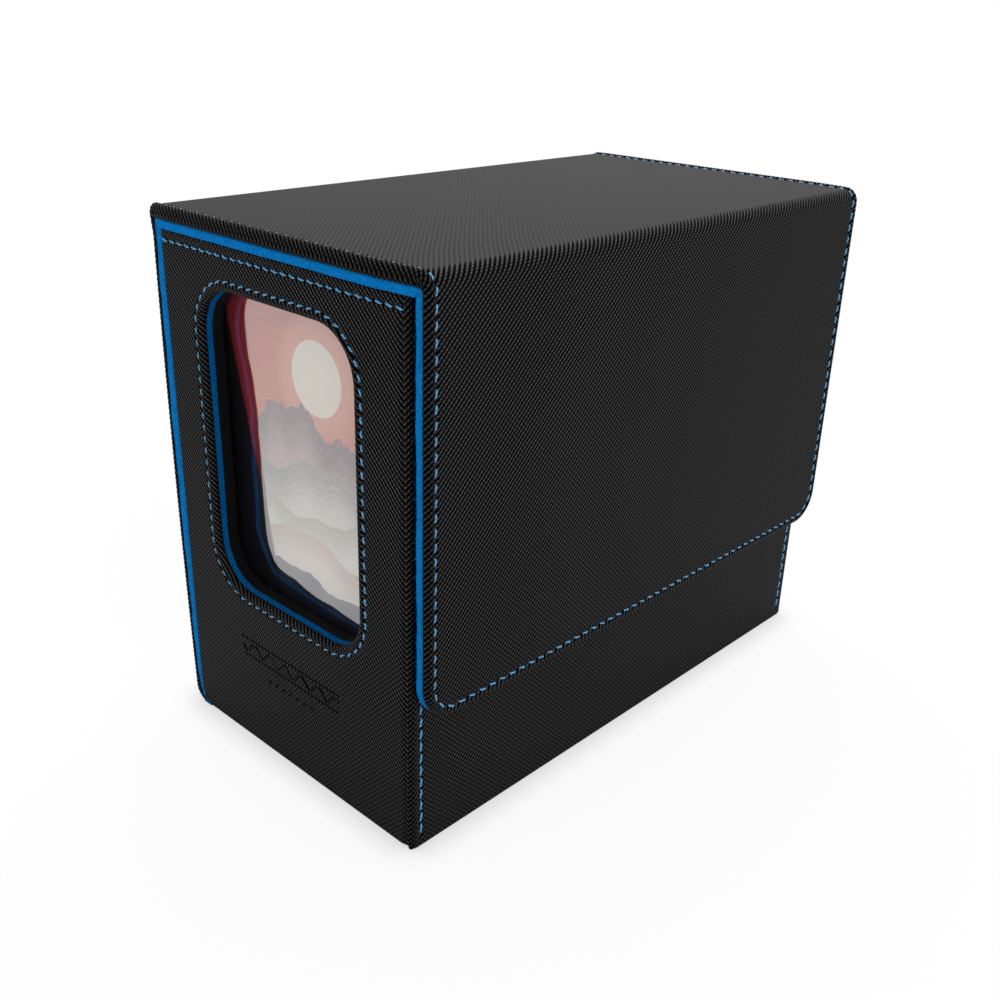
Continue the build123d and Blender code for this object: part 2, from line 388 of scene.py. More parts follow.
def bow(z):
    """How far the back stands out at a height."""
    return BACK_BOW * max(0.0, 1 - (z / BOW_MIDDLE - 1) ** 2)


FLAP_END = TOP - FRONT_ROUND - FLAP_LOW.z
LID_START = FLAP_END + FRONT_ROUND * math.pi / 2
LID_FROM_Y = FLAP_LOW.y + FRONT_ROUND
LID_TO_Y = BACK_HIGH.y + bow(TOP - REAR_ROUND) - REAR_ROUND
LID_END = LID_START + LID_TO_Y - LID_FROM_Y
BACK_START = LID_END + REAR_ROUND * math.pi / 2
FOOT_START = BACK_START + TOP - REAR_ROUND - FOOT_ROUND
FOOT_END = FOOT_START + FOOT_ROUND * math.pi / 2
FOOT_Y = BACK_HIGH.y + bow(FOOT_ROUND) - FOOT_ROUND

COVER_RAIL = Rail(
    [
        (COVER_ROW - EDGE_X, FOOT_END),
        (COVER_ROW - EDGE_X, COVER_ROW),
        (EDGE_X - COVER_ROW, COVER_ROW),
        (EDGE_X - COVER_ROW, FOOT_END),
    ],
    FLAP_CORNER - COVER_ROW,
    closed=False,
)
COVER_PITCH = whole_pitch(COVER_RAIL.length, COVER_STITCH)
STEP = COVER_PITCH / 4


def on_grid(s):
    """The nearest length along the cover where a quarter of a stitch ends."""
    return FOOT_END - round((FOOT_END - s) / STEP) * STEP


# Where the cover is cut into pieces: each fold takes a little of the panels beside it
FOLD_REACH = 4.0
FLAP_CUT = on_grid(FLAP_END - FOLD_REACH)
LID_CUT = on_grid(LID_START + FOLD_REACH)
REAR_CUT = on_grid(LID_END - FOLD_REACH)
BACK_CUT = on_grid(BACK_START + FOLD_REACH)

# The same cuts as lengths along the rail, and the steps of the rail round the flap
FLAP_FROM, LID_FROM, REAR_FROM, BACK_FROM = [FOOT_END - s for s in (FLAP_CUT, LID_CUT, REAR_CUT, BACK_CUT)]
FLAP_STEPS = evenly(FLAP_FROM, COVER_RAIL.length - FLAP_FROM, STEP)


def lip(s):
    """How far the ends of the cover stand out past the walls, most at the lid."""
    along = [FLAP_END + 1, LID_START + 9, LID_END - 3, BACK_START + 4]
    return float(np.interp(s, along, [0, LID_LIP, LID_LIP, 0]))


def cover_point(x, s, lift):
    """A point of the cover at a height over its outer face, or at three: over flap, lid and back."""
    flap, lid, back = lift if isinstance(lift, tuple) else (lift, lift, lift)
    wide = x * (1 + lip(s) / EDGE_X)
    front = FLAP_LOW.y - flap
    rear = LID_TO_Y + REAR_ROUND + back
    under = TOP + lid
    front_round = max(0.0, FRONT_ROUND + (flap + lid) / 2)
    rear_round = max(0.0, REAR_ROUND + (lid + back) / 2)
    if s <= FLAP_END:
        return wide, front, min(FLAP_LOW.z + s, under - front_round)
    if s < LID_START:
        a = (s - FLAP_END) / FRONT_ROUND
        return wide, front + front_round * (1 - math.cos(a)), under - front_round * (1 - math.sin(a))
    if s <= LID_END:
        y = LID_FROM_Y + s - LID_START
        return wide, min(max(y, front + front_round), rear - rear_round), under
    if s < BACK_START:
        a = (s - LID_END) / REAR_ROUND
        return wide, rear - rear_round * (1 - math.sin(a)), under - rear_round * (1 - math.cos(a))
    if s <= FOOT_START:
        z = TOP - REAR_ROUND - (s - BACK_START)
        return wide, BACK_HIGH.y + bow(z) + back, min(z, under - rear_round)
    a = (s - FOOT_START) / FOOT_ROUND
    out = FOOT_ROUND + back
    return wide, FOOT_Y + out * math.cos(a), FOOT_ROUND - out * math.sin(a)


FLAP_DEPTH = 1.45
LID_DEPTH = 2.5
BACK_DEPTH = 1.25


def skin_depths(s):
    """Thickness of the skin at its turned edge on the flap, the lid and the back, gathered at the foot."""
    along = [FOOT_START - 3, FOOT_START + 2.6, FOOT_END]
    return FLAP_DEPTH, LID_DEPTH, float(np.interp(s, along, [BACK_DEPTH, 2.0, 0.6]))


EDGE_TURN = 1.1
FLAT_STEP = 8.0
COVER_EDGE = turned_edge(EDGE_TURN, COVER_DOWN)


def edge_lift(s, height):
    """Height of a place in the turned edge: its tuck is deeper and its roll higher round the lid."""
    if height < -COVER_DOWN:
        return tuple(height * depth / SKIN for depth in skin_depths(s))
    return height + cover_roll(s) * (1 + height / COVER_DOWN)


def along_edge(s, flap, lid, back):
    """A measure of the cover's edge that changes at the folds."""
    along = [FLAP_END, LID_START + 2, LID_END - 2, BACK_START]
    return float(np.interp(s, along, [flap, lid, lid, back]))


def cover_roll(s):
    """Height of the roll along the cover's edge."""
    return along_edge(s, ROLL, LID_ROLL, ROLL)


def edge_stretch(s):
    """How much longer the way round the edge is than the plain section, most at the lid."""
    return along_edge(s, 1.08, 1.45, 1.05)


def cover_edge(sheet, s, side):
    """Points of one edge of the cover's skin, from its tuck to the flat inside the stitches."""
    row = []
    roll = cover_roll(s)
    for inset, height, reach in COVER_EDGE:
        u = side * (EDGE_X - EDGE_TURN + (reach + EDGE_TURN) * edge_stretch(s))
        relief = WEAVE_RELIEF * (pillow(u, s) - 0.5)
        lift = edge_lift(s, height)
        out = 1.0
        if not isinstance(lift, tuple):
            out = max(0.0, 1 - inset / EDGE_TURN)
            lift += relief * math.sqrt(1 - out * out)
        x = side * (EDGE_X - inset + relief * out)
        row.append(sheet.add(cover_point(x, s, lift), (u, s)))
    for off in SEAM_OUT:
        x = side * (EDGE_X - COVER_ROW - off)
        lift = roll * roll_share(off) - groove(off, FOOT_END - s, COVER_PITCH)
        row.append(sheet.add(cover_point(x, s, lift), (x, s)))
    return row


def cover_skin(name, start, stop, material):
    """The skin of the cover between two cuts: its two edges and the plain sheet between them."""
    sheet = Sheet()
    reach = EDGE_X - COVER_ROW - SEAM_EDGE
    between = evenly(-reach, reach, FLAT_STEP)[1:-1]
    rows = []
    for s in evenly(start, stop, RELIEF_STEP):
        left = cover_edge(sheet, s, -1)
        flat = [sheet.add(cover_point(x, s, 0.0), (x, s)) for x in between]
        rows.append(left + flat + cover_edge(sheet, s, 1)[::-1])
    sheet.join(rows)
    return sheet.build(name, material)


def flap_skin(name, material):
    """The skin of the flap, up to the front fold."""
    sheet = Panel(cover_point)
    section = turned_edge(EDGE_TURN, COVER_DOWN, FLAP_DEPTH, ROLL)
    section += [(COVER_ROW + off, ROLL * roll_share(off), -COVER_ROW - off) for off in SEAM_OUT]
    rows = strips(sheet, COVER_RAIL, FLAP_STEPS, lambda out: section, COVER_ROW, row_seam(COVER_PITCH))
    fill(sheet, [rows[-1]], sheet.place)
    return sheet.build(name, material)


# Lining of the cover: a soft edge that bulges a little between skin and air.
# Its section has the inset, the share of its thickness and the reach past the edge
LINING_EDGE = with_reach(
    [(1.4, 0.02), (0.55, 0.02), (0.3, 0.06), (0.16, 0.16), (0.1, 0.3), (0.08, 0.5)]
    + [(0.12, 0.68), (0.24, 0.83), (0.45, 0.94), (0.75, 0.99), (1.2, 1.0)],
    EDGE_LINING,
)
LINING_GAP = 0.05
# How far in from the cut edge its unevenness and the crease reach
RIPPLE_REACH = 1.0
CREASE_REACH = 1.5


def ripple(s, size=0.07):
    """A slow unevenness along a cut edge."""
    return size * (math.sin(0.23 * s + 0.4) + 0.7 * math.sin(0.61 * s + 1.9) + 0.4 * math.sin(1.37 * s))


def lining_lift(s, share, inset=9.0):
    """Heights of a place in the lining, from the skin's back to the lining's face.

    Near its cut edge the lining keeps its own thickness, and further in it lies level with the panel.
    """
    level = PANEL - LINING_GAP
    bowed = level + min(bow(cover_point(0, s, 0.0)[2]), 0.4 * max(0.0, FOOT_START - s))
    heights = []
    for depth, inner in zip(skin_depths(s), (level, level, bowed)):
        face = float(np.interp(inset, [0.5, 1.2], [depth + EDGE_LINING, inner]))
        if s > FOOT_START - 2:
            face = inner
        heights.append(-depth - (face - depth) * share)
    return tuple(heights)


def crease(y, z, lift, share):
    """How far the cut edge draws in where the linings of lid and back meet."""
    _, lid, back = lift
    off = max(LID_TO_Y + REAR_ROUND + back - y, TOP + lid - z)
    half = CREASE_HALF * (1.2 - share)
    return CREASE_DEPTH * math.sqrt(min(max(1 - off / half, 0.0), 1.0))


def cover_lining(name, start, stop, material, step):
    """The lining of the cover between two cuts."""
    sheet = Sheet()
    left = [(inset - EDGE_X, share, -EDGE_X - reach) for inset, share, reach in LINING_EDGE]
    right = [(-x, share, -u) for x, share, u in left]
    between = evenly(left[-1][0], right[-1][0], FLAT_STEP)[1:-1]
    section = left + [(x, 1.0, x) for x in between] + right[::-1]

    def at(s, spot):
        x, share, u = spot
        inset = EDGE_X - abs(x)
        lift = lining_lift(s, share, inset)
        _, y, z = cover_point(x, s, lift)
        shift = 0.0
        if inset < RIPPLE_REACH:
            shift = ripple(s + (40 if x > 0 else 0))
        if inset < CREASE_REACH:
            shift -= math.copysign(crease(y, z, lift, share), x)
        return cover_point(x + shift, s, lift), (u, s)

    sheet.grid(evenly(start, stop, step), section, at)
    return sheet.build(name, material, outward=False)


def flap_lining(name, material):
    """The lining of the flap, up to the front fold."""
    sheet = Panel(cover_point)

    def at(edge, t):
        inset, share, reach = edge
        middle, out = COVER_RAIL.at(t)
        spot = middle + out * (COVER_ROW - inset + (ripple(t) if inset < RIPPLE_REACH else 0.0))
        lift = lining_lift(spot.y, share, inset)
        return sheet.place(spot.x, spot.y, lift), middle + out * (COVER_ROW + reach)

    rows = sheet.grid(LINING_EDGE, FLAP_STEPS, at)
    fill(sheet, [rows[-1]], lambda p, q, lift: sheet.place(p, q, lining_lift(q, 1.0)))
    return sheet.build(name, material, outward=False)


# Walls that stand on the table

def window_place(p, q, lift):
    return (END_LOW.x - END_OUT - lift, p, q)


def far_place(p, q, lift):
    return (FAR_HIGH.x + END_OUT + lift, p, q)


def front_place(p, q, lift):
    return (p, FRONT_LOW.y - lift, q)


END_ROW_Z = END_HIGH.z - TOP_ROW
END_PITCH = whole_pitch(END_BACK_Y - END_FRONT_Y, END_STITCH)
FRONT_PITCH = whole_pitch(FRONT_HIGH.z - FRONT_LOW.z, COVER_STITCH)


def window_rail(out=0.0):
    """The window's outline, or one that lies further out."""
    half, tall = WINDOW_WIDTH / 2, WINDOW_HEIGHT / 2
    around = rectangle(WINDOW_Y - half, WINDOW_Z - tall, WINDOW_Y + half, WINDOW_Z + tall, -out)
    return Rail(around, WINDOW_RADIUS + out)


WINDOW_RAIL = window_rail(WINDOW_ROW)
WINDOW_PITCH = whole_pitch(WINDOW_RAIL.length, END_STITCH)


def end_seam(spot, *_):
    """The straight seam under the top edge of an end."""
    return groove(spot.y - END_ROW_Z, spot.x - END_FRONT_Y, END_PITCH)


def front_seam(spot, *_):
    """The two upright seams of the front wall."""
    fade = min(max((spot.y - FRONT_LOW.z) / FRONT_ROW, 0.0), 1.0)
    return fade * groove(abs(spot.x) - EDGE_X + FRONT_ROW, spot.y, FRONT_PITCH)


EDGE_SIZES = 20


def edge_sizes(inward, down, depth=SKIN):
    """Turned edges from nearly sharp to full size."""
    shares = [k / EDGE_SIZES for k in range(EDGE_SIZES + 1)]
    return [turned_edge(inward * share, down * share, depth) for share in shares]


END_INSET = 2.0
END_EDGES = edge_sizes(1.8, 1.2)
FRONT_INSET = 1.6
FRONT_EDGES = edge_sizes(1.2, 0.9, END_FRONT_Y - FRONT_LOW.y + 0.1)


def end_edge(out):
    """Section of an end's turned edge: round towards the front wall, tight against the back's lining."""
    p, q = out
    size = p * p * (1.0 if p < 0 else 0.28) + q * q * (0.6 if q > 0 else 0.35)
    return END_EDGES[round(size * EDGE_SIZES)]


# A pressed ornament under the window: a wave between two rules, over a row of dots

WAVE_Z = 24.2
WAVE_HALF = 1.05
WAVE_LENGTH = 5.6
WAVE_LINE = 0.27
RULE_OFF = 2.1
RULE_LINE = 0.2
ORNAMENT_HALF = 16.8
DOTS_Z = 18.6
DOT_RADIUS = 0.5
DOT_STEP = 2.4
DOT_COUNT = 3
PRESS_DEPTH = 0.2
PRESS_SLOPE = 0.3
PRESS_STEP = 0.15
PRESS_MARGIN = 1.5


def ornament_off(p, q):
    """Distance from the pressed shapes of the ornament, below zero inside them."""
    p -= WINDOW_Y
    up = q - WAVE_Z
    turn = 2 * math.pi / WAVE_LENGTH
    steep = math.hypot(1, WAVE_HALF * turn * math.cos(turn * p))
    wave = abs(up - WAVE_HALF * math.sin(turn * p)) / steep - WAVE_LINE
    rule = abs(abs(up) - RULE_OFF) - RULE_LINE
    band = max(min(wave, rule), abs(p) - ORNAMENT_HALF)
    number = min(max(round(p / DOT_STEP), -DOT_COUNT), DOT_COUNT)
    dot = math.hypot(p - number * DOT_STEP, q - DOTS_Z) - DOT_RADIUS
    return min(band, dot)


def ornament(p, q):
    """Share of the full depth to which a place is pressed."""
    return min(max(0.5 - ornament_off(p, q) / PRESS_SLOPE, 0.0), 1.0)


def ornament_patch(sheet):
    """A fine grid that carries the ornament. Returns the loop round it."""
    reach = ORNAMENT_HALF + PRESS_MARGIN
    across = evenly(WINDOW_Y - reach, WINDOW_Y + reach, PRESS_STEP)
    upward = evenly(DOTS_Z - DOT_RADIUS - PRESS_MARGIN, WAVE_Z + RULE_OFF + PRESS_MARGIN, PRESS_STEP)

    def at(q, p):
        share = ornament(p, q)
        sheet.pressed[len(sheet.points)] = share
        return sheet.place(p, q, -PRESS_DEPTH * share), (p, q)

    rows = sheet.grid(upward, across, at)
    right = [row[-1] for row in rows[1:-1]]
    left = [row[0] for row in rows[1:-1]]
    return rows[0] + right + rows[-1][::-1] + left[::-1]


WALL_CORNER = 0.4
WALL_SQUARE = 0.85


def wall_rim(sheet, outline, inset, edge, seam):
    """The turned edge round a wall, its corners kept square. Returns the rim of the flat."""
    rail = Rail(rectangle(*outline, inset), WALL_CORNER)
    steps = np.unique(np.concatenate([evenly(0, rail.length, STEP)[:-1], rail.t[:-1]]).round(4))
    outer = strips(sheet, rail, steps, edge, inset, seam, WALL_SQUARE)[-1]
    flat = strips(sheet, rail, steps, lambda out: [(inset, 0.0, -inset)], inset, seam)[-1]
    sheet.join([outer, flat], closed=True)
    return flat


def end_wall(name, place, material, window):
    """An end: turned edges, the seam under its top, and round the window a second seam and a turned hem."""
    sheet = Panel(place)
    outline = (END_FRONT_Y, END_LOW.z, END_BACK_Y, END_HIGH.z)
    loops = [wall_rim(sheet, outline, END_INSET, end_edge, end_seam)]
    if window:
        steps = evenly(0, WINDOW_RAIL.length, WINDOW_PITCH / 4)[:-1]
        hem = turned_edge(EDGE_TURN, HEM_DOWN, HEM_DEPTH, ROLL)
        section = [(-off, ROLL * roll_share(off), off) for off in SEAM_OUT[::-1]]
        section += [(WINDOW_ROW - a, b, -WINDOW_ROW - c) for a, b, c in hem[::-1]]
        rows = strips(sheet, WINDOW_RAIL, steps, lambda out: section, 0.0, row_seam(WINDOW_PITCH))
        loops += [rows[0], ornament_patch(sheet)]
    row = [
        (p, END_ROW_Z + off)
        for off in SEAM_STEPS
        for p in evenly(END_FRONT_Y, END_BACK_Y, END_PITCH / 4)
    ]
    fill(sheet, loops, sheet.place, end_seam, row)
    return sheet.build(name, material)


def front_edge(out):
    """Section of the front wall's turned edge: round at its sides, tight along the table and the top."""
    p, q = out
    return FRONT_EDGES[round((p * p + 0.3 * q * q) * EDGE_SIZES)]


def front_wall(name, material):
    """The front wall, sewn down both its ends."""
    sheet = Panel(front_place)
    outline = (FRONT_LOW.x, FRONT_LOW.z, FRONT_HIGH.x, FRONT_HIGH.z)
    flat = wall_rim(sheet, outline, FRONT_INSET, front_edge, front_seam)
    rows = [
        (side * (EDGE_X - FRONT_ROW + off), q)
        for side in (-1, 1)
        for off in SEAM_STEPS
        for q in evenly(FRONT_LOW.z, FRONT_HIGH.z, FRONT_PITCH / 4)
    ]
    fill(sheet, [flat], sheet.place, front_seam, rows)
    return sheet.build(name, material)


# Blocks of lining and board inside the box

def soft_block(name, low, high, rounding, material):
    """A block with rounded edges, its texture laid on square to each side."""
    mesh = bpy.data.meshes.new(name)
    shape = bmesh.new()
    bmesh.ops.create_cube(shape, size=1.0)
    size = high - low
    for v in shape.verts:
        v.co = Vector(low[i] + (v.co[i] + 0.5) * size[i] for i in range(3))
    bmesh.ops.bevel(shape, geom=shape.edges[:], offset=rounding, segments=3, profile=0.5, affect="EDGES")
    layer = shape.loops.layers.uv.new("weave")
    for face in shape.faces:
        face.smooth = True
        flat = max(range(3), key=lambda i: abs(face.normal[i]))
        a, b = [i for i in range(3) if i != flat]
        for loop in face.loops:
            loop[layer].uv = (loop.vert.co[a], loop.vert.co[b])
    bmesh.ops.scale(shape, vec=Vector((MM, MM, MM)), verts=shape.verts)
    shape.to_mesh(mesh)
    shape.free()
    mesh.materials.append(material)
    made = bpy.data.objects.new(name, mesh)
    bpy.context.collection.objects.link(made)
    return made


FRAME_FLAT = 2.5
FRAME_STEP = 0.65


def window_frame(name, low, high, rounding, material, out_of_line):
    """A layer behind the window: a block with the window's opening cut through it."""
    sheet = Sheet()
    rail = window_rail()
    steps = evenly(0, rail.length, FRAME_STEP)[:-1]
    thick = high.x - low.x
    section = []
    for k in range(-6, 7):
        turn = math.pi / 2 * k / 6
        bulge = rounding * (1 - math.cos(turn))
        share = 0.5 + 0.5 * math.sin(turn)
        section.append((bulge - out_of_line, share))
    layers = with_reach([(FRAME_FLAT, 0.0)] + section + [(FRAME_FLAT, 1.0)], thick)

    def at(layer, t):
        edge, share, reach = layer
        middle, out = rail.at(t)
        spot = middle + out * (edge + (ripple(t, 0.04) if edge < RIPPLE_REACH else 0.0))
        return (low.x + thick * share, spot.x, spot.y), (t, layers[0][2] - reach)

    rows = sheet.grid(layers, steps, at, closed=True)
    ends = [(rows[0], low.x), (rows[-1], high.x)]
    border = rectangle(low.y, low.z, high.y, high.z)
    for loop, x in ends:
        flat = {i: (sheet.points[i][1], sheet.points[i][2]) for i in loop}
        rim = [sheet.add((x, p, q), (p, q)) for p, q in border]
        flat.update({i: spot for i, spot in zip(rim, border)})
        sheet.flat = flat
        fill(sheet, [rim, loop], lambda p, q, lift, x=x: (x, p, q), spacing=12.0)
    outer = []
    for x in (low.x, high.x):
        outer.append([sheet.add((x, p, q), (p + q, x)) for p, q in border])
    sheet.join(outer, closed=True)
    return sheet.build(name, material)


# The pane swells softly inside the window

PANE_SWELL = 1.0
PANE_INSET = 0.05


def pane_swell(y, z):
    """How far the pane stands out, most below its middle, with small waves near its foot."""
    across = (y - WINDOW_Y) / (WINDOW_WIDTH / 2)
    upward = (z - WINDOW_Z) / (WINDOW_HEIGHT / 2)
    if max(abs(across), abs(upward)) >= 1:
        return 0.0
    within = (1 - across ** 4) * (1 - upward ** 4)
    lower = float(np.interp(upward, [-1.0, 0.1, 0.75, 1.0], [1.0, 1.0, 0.3, 0.1]))
    waves = 0.1 * math.sin(0.55 * y + 0.6) * math.exp(-(((upward + 0.8) / 0.14) ** 2))
    return within * (PANE_SWELL * lower + waves)


def pane(name, material):
    """The clear pane behind the window."""
    sheet = Sheet()

    def at(z, y):
        return (PANE_LOW.x + PANE_INSET - pane_swell(y, z), y, z), (y, z)

    sheet.grid(evenly(PANE_LOW.z, PANE_HIGH.z, 1.0), evenly(PANE_LOW.y, PANE_HIGH.y, 1.0), at)
    return sheet.build(name, material)


# Thread: each stitch is a short twist of two plies that dives into the skin at both ends

STITCH_LEAN = 0.2
STITCH_LIE = 0.1
STITCH_SINK = 0.4


def stitch_row(name, spots, place, material):
    """Stitches along a row: each spot has the row's path and the lengths at a stitch's ends."""
    sheet = Sheet()
    sides, rings = 10, 13
    for number, (at, start, stop) in enumerate(spots):
        rows = []
        lean = STITCH_LEAN + 0.05 * math.sin(number * 2.4)
        thick = THREAD * (1 + 0.06 * math.sin(number * 1.7))
        for k in range(rings):
            share = -1 + 2 * k / (rings - 1)
            t = (start + stop) / 2 + (stop - start) / 2 * share
            middle, out = at(t)
            sink = abs(share) ** 5
            lift = -STITCH_LIE - STITCH_SINK * sink
            row = []
            for j in range(sides):
                turn = 2 * math.pi * j / sides
                ply = 0.84 + 0.2 * abs(math.cos(turn - 2.6 * share))
                wide = thick * ply * (1 - 0.35 * sink)
                side = lean * share + wide * math.cos(turn)
                spot = middle + out * side
                row.append(sheet.add(place(spot.x, spot.y, lift + wide * math.sin(turn)), (t, turn)))
            rows.append(row)
        sheet.join(rows, closed=True)
        for end in (rows[0], rows[-1]):
            sheet.faces.append(tuple(end))
    made = sheet.build(name, material)
    shape = bmesh.new()
    shape.from_mesh(made.data)
    bmesh.ops.recalc_face_normals(shape, faces=shape.faces[:])
    shape.to_mesh(made.data)
    shape.free()
    return made


def stitches(at, length, pitch, part, first=0.0, last=math.inf):
    """The stitches of a row whose middles lie between two lengths, with thread over a part of the pitch."""
    middles = [(k + 0.5) * pitch for k in range(round(length / pitch))]
    half = part / 2 * pitch
    return [(at, middle - half, middle + half) for middle in middles if first <= middle <= last]


def straight(origin, run, out):
    """The path of a straight row."""
    return lambda t: (Vector(origin) + Vector(run) * t, Vector(out))


# Loose fibres along the cut edges of the lining

NAP_PER_MM = 9
FIBRE = 0.022
NAP_INSET = 0.14
LONG_SHARE = 0.01


def nap(name, start, stop, material, seed):
    """Short fibres that stand out of the lining's cut edge, and now and then a long one."""
    chance = random.Random(seed)
    sheet = Sheet()
    for side in (-1, 1):
        for _ in range(round((stop - start) * NAP_PER_MM)):
            s = chance.uniform(start, stop)
            share = chance.choice((chance.uniform(0, 0.2), chance.uniform(0.7, 1.0), chance.random()))
            root = Vector(cover_point(side * (EDGE_X - NAP_INSET), s, lining_lift(s, share, 0.1)))
            size = chance.uniform(0.1, 0.34)
            if chance.random() < LONG_SHARE:
                size = chance.uniform(0.9, 1.7)
            lean = Vector((side * chance.uniform(0.25, 1.0), chance.gauss(0, 0.7), chance.gauss(0, 0.7)))
            droop = Vector((0, chance.gauss(0, 0.3), -chance.uniform(0.0, 0.6)))
            rows = []
            for k in range(3):
                middle = root + lean.normalized() * size * k / 2 + droop * size * (k / 2) ** 2
                row = []
                for j in range(3):
                    turn = 2 * math.pi * j / 3
                    ring = Vector((0, math.cos(turn), math.sin(turn))) * FIBRE * (1 - 0.35 * k)
                    row.append(sheet.add(middle + ring, (s, share + k)))
                rows.append(row)
            sheet.join(rows, closed=True)
    return sheet.build(name, material)


# Materials

class Value:
    """A number worked out by a material's nodes, for use in plain sums."""

    def __init__(self, graph, socket):
        self.graph = graph
        self.socket = socket

    def __add__(self, other):
        return self.graph.math("ADD", self, other)

    def __sub__(self, other):
        return self.graph.math("SUBTRACT", self, other)

    def __rsub__(self, other):
        return self.graph.math("SUBTRACT", other, self)

    def __mul__(self, other):
        return self.graph.math("MULTIPLY", self, other)

    def __pow__(self, other):
        return self.graph.math("POWER", self, other)

    def __abs__(self):
        return self.graph.math("ABSOLUTE", self)

    def sine(self):
        return self.graph.math("SINE", self)

    __radd__ = __add__
    __rmul__ = __mul__


class Graph:
    """Short hands for building a material's nodes."""

    def __init__(self, owner, output="ShaderNodeOutputMaterial"):
        self.owner = owner
        owner.use_nodes = True
        self.tree = owner.node_tree
        self.tree.nodes.clear()
        self.out = self.tree.nodes.new(output)

    def feed(self, socket, value):
        """Links a socket to what a node gives, or sets it to a number or a colour."""
        if isinstance(value, Value):
            value = value.socket
        if isinstance(value, bpy.types.NodeSocket):
            self.tree.links.new(value, socket)
        elif socket.type == "RGBA":
            socket.default_value = (*value, 1)
        else:
            socket.default_value = value

    def node(self, kind, output, inputs, **settings):
        """Adds a node, feeds its inputs and gives one of its outputs."""
        made = self.tree.nodes.new(kind)
        for key, value in settings.items():
            setattr(made, key, value)
        for key, value in inputs.items():
            self.feed(made.inputs[key], value)
        return made.outputs[output]

    def value(self, *node, **settings):
        """The same, for an output that is a number."""
        return Value(self, self.node(*node, **settings))

    def math(self, operation, a, b=0.0):
        return self.value("ShaderNodeMath", 0, {0: a, 1: b}, operation=operation)

    def mix(self, factor, a, b):
        """A colour between two colours."""
        return self.node("ShaderNodeMix", 2, {0: factor, 6: a, 7: b}, data_type="RGBA")

    def noise(self, place, scale, detail):
        return self.value("ShaderNodeTexNoise", "Fac", {"Vector": place, "Scale": scale, "Detail": detail})

    def places(self):
        """Texture place in millimetres: the vector and its two numbers."""
        place = self.node("ShaderNodeUVMap", "UV", {}, uv_map="weave")
        return place, *[self.value("ShaderNodeSeparateXYZ", k, {0: place}) for k in (0, 1)]

    def object_place(self):
        """Place on the object in metres."""
        return self.node("ShaderNodeTexCoord", "Object", {})

    def principled(self, **values):
        """The usual shader, as the finished surface."""
        inputs = {key.replace("_", " "): value for key, value in values.items()}
        shader = self.node("ShaderNodeBsdfPrincipled", 0, inputs)
        self.feed(self.out.inputs[0], shader)
        return shader

    def layered(self, share, under, over):
        """Shows one shader over another by a share, as the finished surface."""
        self.feed(self.out.inputs[0], self.node("ShaderNodeMixShader", 0, {0: share, 1: under, 2: over}))

    def gloss(self, roughness, normal):
        """A plain mirror coat."""
        return self.node("ShaderNodeBsdfGlossy", 0, {"Roughness": roughness, "Normal": normal})

    def facing(self, power):
        """Rises from 0 where the surface is seen square on to 1 at its rim."""
        return self.value("ShaderNodeLayerWeight", "Facing", {"Blend": 0.5}) ** power

    def over(self, value, softness):
        """A soft step from 0 to 1 where the value passes zero."""
        inputs = {"Value": value, "From Min": -softness, "From Max": softness}
        return self.value("ShaderNodeMapRange", "Result", inputs, interpolation_type="SMOOTHSTEP")

    def stretched(self, place, across, along):
        """The texture place scaled on its two axes."""
        return self.node("ShaderNodeMapping", "Vector", {"Vector": place, "Scale": (across, along, 1)})

    def ray(self, kind):
        """1 on rays of a kind."""
        return self.value("ShaderNodeLightPath", f"Is {kind} Ray", {})

    def plainly_seen(self):
        """1 on rays from the camera, from mirrors and through clear sheets."""
        both = self.math("MAXIMUM", self.ray("Camera"), self.ray("Glossy"))
        return self.math("MAXIMUM", both, self.ray("Transmission"))

    def bump(self, height, distance, strength=1.0):
        inputs = {"Strength": strength, "Distance": distance, "Height": height}
        return self.node("ShaderNodeBump", "Normal", inputs)


def new_material(name):
    return Graph(bpy.data.materials.new(name))


def leatherette():
    """Black leatherette pressed with a diagonal weave, glossy on the crowns of its pillows, its colour
    darkened in the furrows as painted shade.
    """
    g = new_material("leatherette")
    place, u, v = g.places()
    a = abs(((u + v) * WEAVE_TURN).sine())
    b = abs(((u - v) * WEAVE_TURN).sine())
    # Rows lift the pillows along level lines: partly relief, and in the colour painted shade between the
    # rows, as if lit from above.
    rows = g.math("COSINE", v * (4 * WEAVE_TURN))
    flat = g.over(EDGE_X - 1.2 - abs(u), 0.5)
    press = g.value("ShaderNodeAttribute", "Fac", {}, attribute_name="press")
    level = (0.89 + rows * flat * 0.11) * (1.0 - press * 0.4)
    valleys = (0.5 - flat * 0.3) * (1.0 - a)
    height = (1.0 - valleys) * b ** 1.6 * level
    closed = g.over(g.facing(1.0) - 0.675, 0.225)
    weave = g.bump(height, 0.00018, 1.0 - closed * 0.75)
    seen = height + closed * (0.68 - height)
    grain = g.noise(place, 2.2, 3.0)
    streaks = g.noise(g.stretched(place, 0.9, 0.06), 1.0, 3.0)
    # Painted shade: the colour follows the seen height, dark in the furrows and between the rows; the
    # pressed ornament comes out darker too.
    colour = g.mix(seen, (0.0006, 0.0006, 0.0007), (0.0120, 0.0113, 0.0118))
    body = g.principled(Base_Color=colour, Roughness=0.8, Normal=weave, Specular_IOR_Level=0.0)
    crown = seen ** 3.2 * 0.064 * (1.0 + g.facing(2.0) * 3.0)
    sheen = (0.85 + streaks * 0.3) * 0.028 * g.facing(3.2)
    g.layered(crown + sheen, body, g.gloss(0.3 + grain * 0.16, weave))
    return g.owner


def black_board_painted_shade():
    """Dull black board round the pocket, without the leatherette's gloss so that it shows darker: painted
    shade inside the window.
    """
    g = new_material("black_board_painted_shade")
    grain = g.noise(g.places()[0], 2.5, 4.0)
    colour = g.mix(grain, (0.0012, 0.0012, 0.0016), (0.0045, 0.0045, 0.0055))
    g.principled(Base_Color=colour, Roughness=0.8, Normal=g.bump(grain, 0.00005), Specular_IOR_Level=0.1)
    return g.owner


RIB = 0.75


